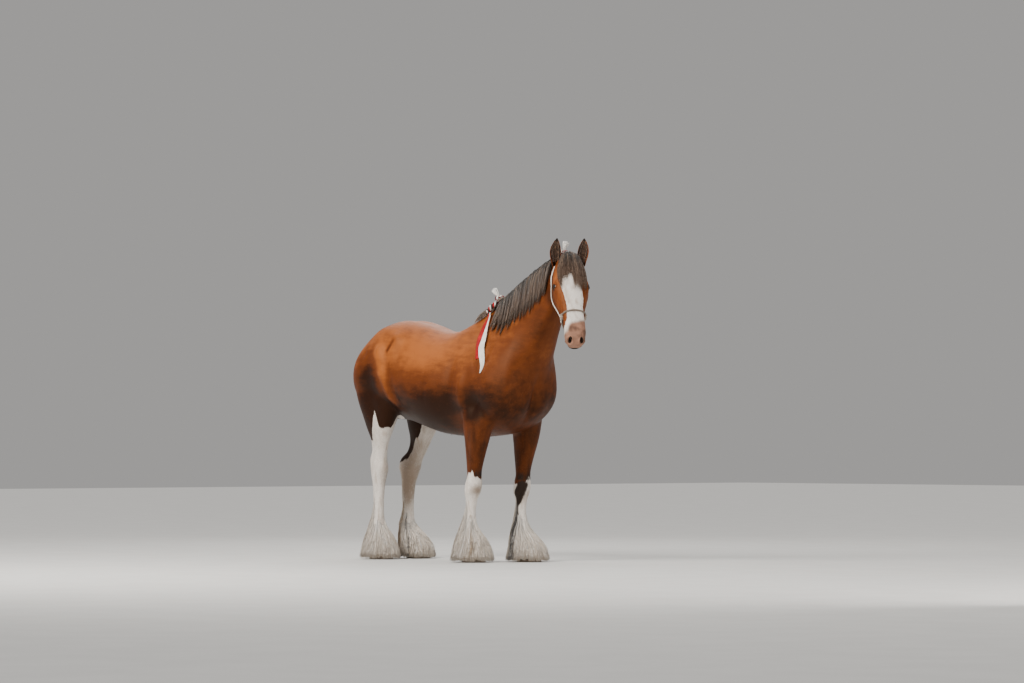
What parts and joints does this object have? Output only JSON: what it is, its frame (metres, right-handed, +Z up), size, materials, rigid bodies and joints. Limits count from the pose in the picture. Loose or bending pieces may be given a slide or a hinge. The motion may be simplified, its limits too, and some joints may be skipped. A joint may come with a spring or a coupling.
{
  "type": "clydesdale horse",
  "caption": "Life-size standing bay draft horse with white feathered legs, head turned to her right, in a show halter with ribbons in her mane.",
  "frame": {"origin": "on the ground under the middle of the bounding box", "axes": "+X from tail to chest, +Y to her left, +Z up"},
  "size_m": [2.5425, 0.6984, 2.2306],
  "materials": {
    "bay_coat": "short glossy coat, bay",
    "white_coat": "white coat and long silky hair",
    "dark_hair": "coarse dark hair",
    "hoof_horn": "dull horn",
    "eye": "wet and glossy",
    "white_strap": "pale strap",
    "grey_rope": "twisted rope",
    "ring_metal": "polished",
    "red_ribbon": "woven ribbon, red",
    "white_ribbon": "woven ribbon and bristle, white"
  },
  "bodies": {
    "root": {"head": "bay_coat", "neck": "bay_coat", "torso": "bay_coat", "tail": "dark_hair", "ear_left": "bay_coat", "ear_right": "bay_coat", "eye_left": "eye", "eye_right": "eye", "leg_fore_right": "bay_coat", "shank_fore_right": "white_coat", "hoof_fore_right": "hoof_horn", "leg_fore_left": "bay_coat", "shank_fore_left": "white_coat", "hoof_fore_left": "hoof_horn", "leg_hind_right": "white_coat", "shank_hind_right": "white_coat", "hoof_hind_right": "hoof_horn", "leg_hind_left": "white_coat", "shank_hind_left": "white_coat", "hoof_hind_left": "hoof_horn", "halter_crown": "white_strap", "halter_noseband": "grey_rope", "halter_ring_left": "ring_metal", "halter_ring_right": "ring_metal", "mane_braid": "red_ribbon", "mane_bow": "red_ribbon", "mane_plume": "white_ribbon", "poll_bow": "red_ribbon", "poll_plume": "white_ribbon", "ribbon_red": "red_ribbon", "ribbon_white": "white_ribbon"}
  },
  "joints": []
}
